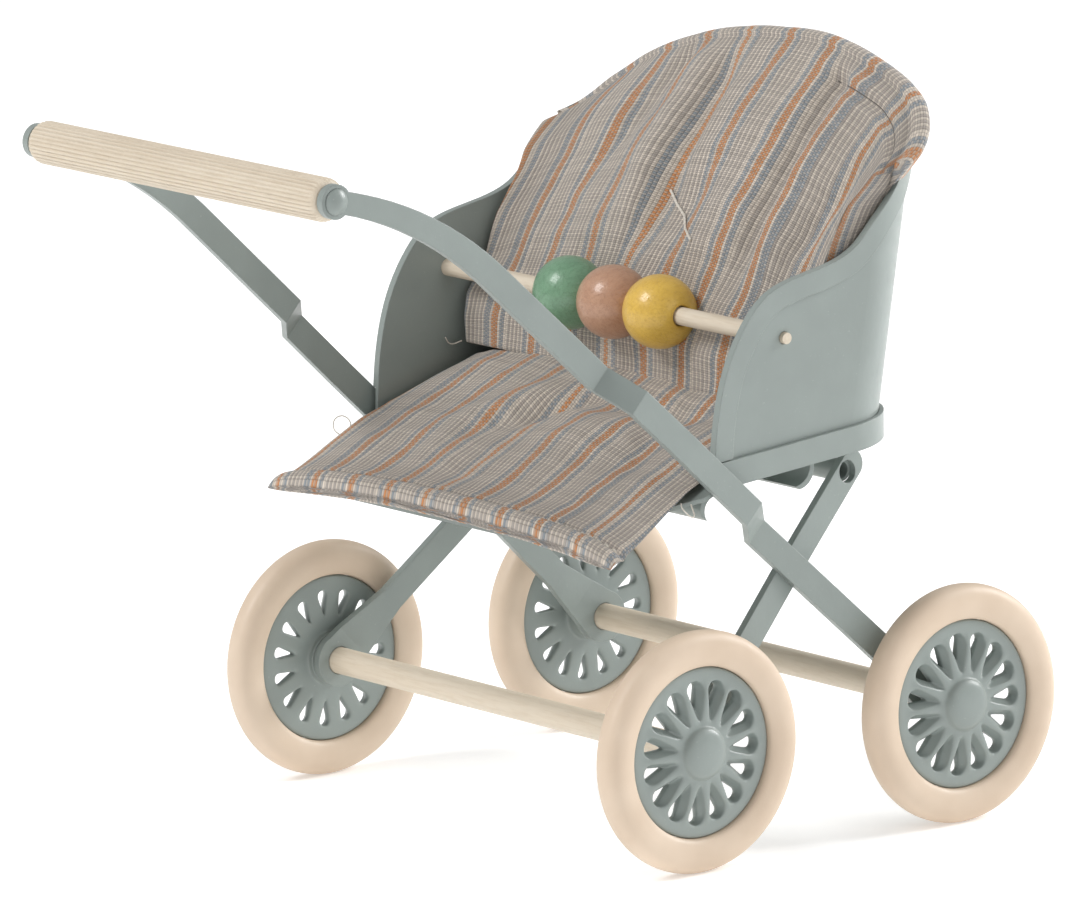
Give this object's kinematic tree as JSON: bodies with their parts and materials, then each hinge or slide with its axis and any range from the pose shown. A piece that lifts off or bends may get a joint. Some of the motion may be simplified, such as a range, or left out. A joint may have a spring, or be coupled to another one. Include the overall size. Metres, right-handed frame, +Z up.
{
  "type": "doll stroller",
  "caption": "Toy doll stroller: flat-strip frame, metal seat shell with striped cushions, bead bar, fluted grip and petal wheels on turning axles.",
  "frame": {"origin": "on the ground, under the middle of the stroller's overall box", "axes": "+Z up, +Y the way it rolls (away from the grip), +X the pusher's right; mirrors across the plane x = 0, apart from where the loose beads rest"},
  "size_m": [0.0838, 0.1151, 0.0998],
  "materials": {
    "painted_frame": "satin",
    "tyre": "satin",
    "pale_wood": "satin",
    "green_wood": "gloss",
    "brown_wood": "gloss",
    "yellow_wood": "gloss",
    "striped_cloth": "coarse plain weave, striped",
    "steel": "drawn wire"
  },
  "bodies": {
    "frame": {"arm_left": "painted_frame", "arm_right": "painted_frame", "leg_left": "painted_frame", "leg_right": "painted_frame", "cross_tube": "painted_frame", "front_rail": "painted_frame", "rear_rail": "painted_frame", "seat_tray": "painted_frame", "seat_shell": "painted_frame", "seat_cushion": "striped_cloth", "back_cushion": "striped_cloth", "grip_rod": "steel", "grip_rivets": "painted_frame"},
    "front_wheelset": {"front_axle": "pale_wood", "tyre_front_left": "tyre", "wheel_front_left": "painted_frame", "tyre_front_right": "tyre", "wheel_front_right": "painted_frame"},
    "rear_wheelset": {"rear_axle": "pale_wood", "tyre_rear_left": "tyre", "wheel_rear_left": "painted_frame", "tyre_rear_right": "tyre", "wheel_rear_right": "painted_frame"},
    "grip": {"grip": "pale_wood"},
    "bead_bar": {"bead_bar": "pale_wood"},
    "bead_green": {"bead_green": "green_wood"},
    "bead_brown": {"bead_brown": "brown_wood"},
    "bead_yellow": {"bead_yellow": "yellow_wood"}
  },
  "joints": [
    {"name": "front_axle_spin", "type": "hinge", "parent": "frame", "child": "front_wheelset", "pos_m": [0, 0.0416, 0.016], "axis": [1, 0, 0], "continuous": true},
    {"name": "rear_axle_spin", "type": "hinge", "parent": "frame", "child": "rear_wheelset", "pos_m": [0, -0.003, 0.016], "axis": [1, 0, 0], "continuous": true},
    {"name": "grip_spin", "type": "hinge", "parent": "frame", "child": "grip", "pos_m": [0, -0.0547, 0.0932], "axis": [1, 0, 0], "continuous": true},
    {"name": "bead_bar_spin", "type": "hinge", "parent": "frame", "child": "bead_bar", "pos_m": [0, 0.0154, 0.0676], "axis": [1, 0, 0], "continuous": true},
    {"name": "bead_green_slide", "type": "slide", "parent": "bead_bar", "child": "bead_green", "axis": [1, 0, 0], "range_m": [-0.018, 0]},
    {"name": "bead_yellow_slide", "type": "slide", "parent": "bead_bar", "child": "bead_yellow", "axis": [1, 0, 0], "range_m": [0, 0.018]},
    {"name": "bead_brown_spin", "type": "hinge", "parent": "bead_bar", "child": "bead_brown", "pos_m": [0, 0.0154, 0.0676], "axis": [1, 0, 0], "continuous": true}
  ]
}
